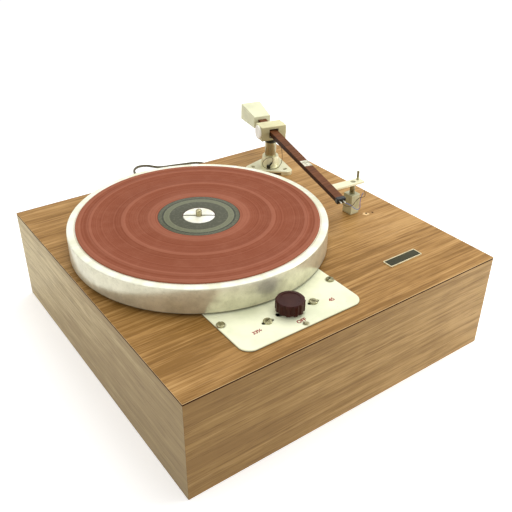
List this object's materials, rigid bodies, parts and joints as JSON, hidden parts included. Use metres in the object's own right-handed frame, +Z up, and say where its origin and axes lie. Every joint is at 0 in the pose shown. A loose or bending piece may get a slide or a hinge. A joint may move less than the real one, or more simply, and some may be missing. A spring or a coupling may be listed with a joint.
{
  "type": "turntable",
  "caption": "Idler-driven turntable in a veneered box with a deck plate, scalloped speed knob, ribbed mat and a wooden tonearm on a round pillar beside its rest.",
  "frame": {"origin": "middle of the box's underside, on the surface that it stands on", "axes": "+X to the right along the front, +Y to the back, +Z up"},
  "size_m": [0.4295, 0.7203, 0.1996],
  "materials": {
    "veneer": "oiled walnut veneer",
    "raw_wood": "unfinished",
    "plate": "brushed",
    "screws": "nickel-plated",
    "cast_metal": "turned, slightly pitted",
    "mat_rubber": "moulded",
    "label": "printed",
    "hub_metal": "turned",
    "steel": "ground",
    "zinc_steel": "zinc-plated",
    "stack": "laminated",
    "bell_paint": "satin",
    "well_metal": "turned",
    "bronze": "sintered",
    "pulley_brass": "turned",
    "idler_metal": "turned",
    "tyre_rubber": "ground",
    "mount_rubber": "moulded",
    "knob_plastic": "maroon, gloss",
    "switch_plastic": "moulded",
    "stand_metal": "satin cast",
    "black_plastic": "moulded",
    "housing_metal": "satin",
    "cap_plastic": "moulded",
    "arm_wood": "dark oiled",
    "weight_metal": "satin",
    "silver": "plated",
    "rest_metal": "satin",
    "rest_white": "polished",
    "rest_brass": "dull",
    "cord_rubber": "smooth",
    "plug_plastic": "moulded",
    "wire_cover": "smooth"
  },
  "bodies": {
    "chassis": {"plinth_front": "veneer", "plinth_back": "veneer", "plinth_left": "veneer", "plinth_right": "veneer", "top_board": "veneer", "base_board": "raw_wood", "glue_blocks": "raw_wood", "deck_plate": "plate", "deck_screws": "screws", "deck_rivet": "screws", "badge_plate": "plate", "bearing_well": "well_metal", "bearing_bushes": "bronze", "thrust_ball": "steel", "rocker_stud": "steel", "power_switch": "switch_plastic", "motor_screws": "screws", "motor_posts": "steel", "motor_grommets": "mount_rubber", "motor_plate": "zinc_steel", "motor_bells": "bell_paint", "motor_stator": "stack", "tonearm_stand": "stand_metal", "tonearm_stand_screws": "screws", "arm_pillar": "stand_metal", "yaw_bearing": "black_plastic", "signal_connector": "black_plastic", "rest_block": "rest_metal", "mains_gland": "cord_rubber", "mains_lead": "cord_rubber", "mains_coil": "cord_rubber", "mains_plug": "plug_plastic", "arm_wire": "wire_cover"},
    "platter_set": {"platter": "cast_metal", "platter_mat": "mat_rubber", "strobe_label": "label", "spindle_shaft": "steel"},
    "hub": {"hub_45": "hub_metal"},
    "selector": {"selector_rocker": "zinc_steel", "speed_knob": "knob_plastic", "idler_axles": "steel"},
    "switch_slide": {"switch_slider": "switch_plastic"},
    "idler_33": {"idler_33_wheel": "idler_metal", "idler_33_tyre": "tyre_rubber"},
    "idler_45": {"idler_45_wheel": "idler_metal", "idler_45_tyre": "tyre_rubber"},
    "motor_shaft": {"motor_rotor": "stack", "drive_pulley": "pulley_brass"},
    "arm_yoke": {"bearing_housing": "housing_metal", "pivot_caps": "cap_plastic", "yaw_pin": "steel"},
    "tonearm": {"arm_beam": "arm_wood", "arm_plate": "silver", "head_cap": "black_plastic", "contact_pins": "silver", "counterweight": "weight_metal", "head_wires": "wire_cover"},
    "arm_rest": {"rest_rod": "rest_white", "rest_bar": "rest_white", "rest_pin": "rest_brass"}
  },
  "joints": [
    {"name": "platter_spin", "type": "hinge", "parent": "chassis", "child": "platter_set", "pos_m": [-0.0523, 0.0152, 0.135], "axis": [0, 0, 1], "continuous": true},
    {"name": "hub_lift", "type": "slide", "parent": "platter_set", "child": "hub", "axis": [0, 0, 1], "range_m": [0, 0.006]},
    {"name": "speed_select", "type": "hinge", "parent": "chassis", "child": "selector", "pos_m": [-0.0523, -0.0978, 0.119], "axis": [0, 0, 1], "range_deg": [-12.3, 12.3]},
    {"name": "switch_travel", "type": "slide", "parent": "chassis", "child": "switch_slide", "axis": [0, 1, 0], "range_m": [-0.0095, 0.0095]},
    {"name": "idler_33_spin", "type": "hinge", "parent": "selector", "child": "idler_33", "pos_m": [-0.02542, -0.09692, 0.14], "axis": [0, 0, 1], "continuous": true},
    {"name": "idler_45_spin", "type": "hinge", "parent": "selector", "child": "idler_45", "pos_m": [-0.08006, -0.09651, 0.14], "axis": [0, 0, 1], "continuous": true},
    {"name": "motor_spin", "type": "hinge", "parent": "chassis", "child": "motor_shaft", "pos_m": [-0.0523, -0.1118, 0.08], "axis": [0, 0, 1], "continuous": true},
    {"name": "arm_yaw", "type": "hinge", "parent": "chassis", "child": "arm_yoke", "pos_m": [0.146, 0.1402, 0.17], "axis": [0, 0, -1], "range_deg": [-13.5, 33]},
    {"name": "arm_pitch", "type": "hinge", "parent": "arm_yoke", "child": "tonearm", "pos_m": [0.146, 0.1402, 0.1824], "axis": [-0.9748, 0.2233, 0], "range_deg": [0, 12]},
    {"name": "rest_slide", "type": "slide", "parent": "chassis", "child": "arm_rest", "axis": [0, 0, 1], "range_m": [-0.01, 0]}
  ],
  "couplings": [
    {"joint": "switch_travel", "follows": "speed_select", "m_per_rad": 0.044}
  ]
}
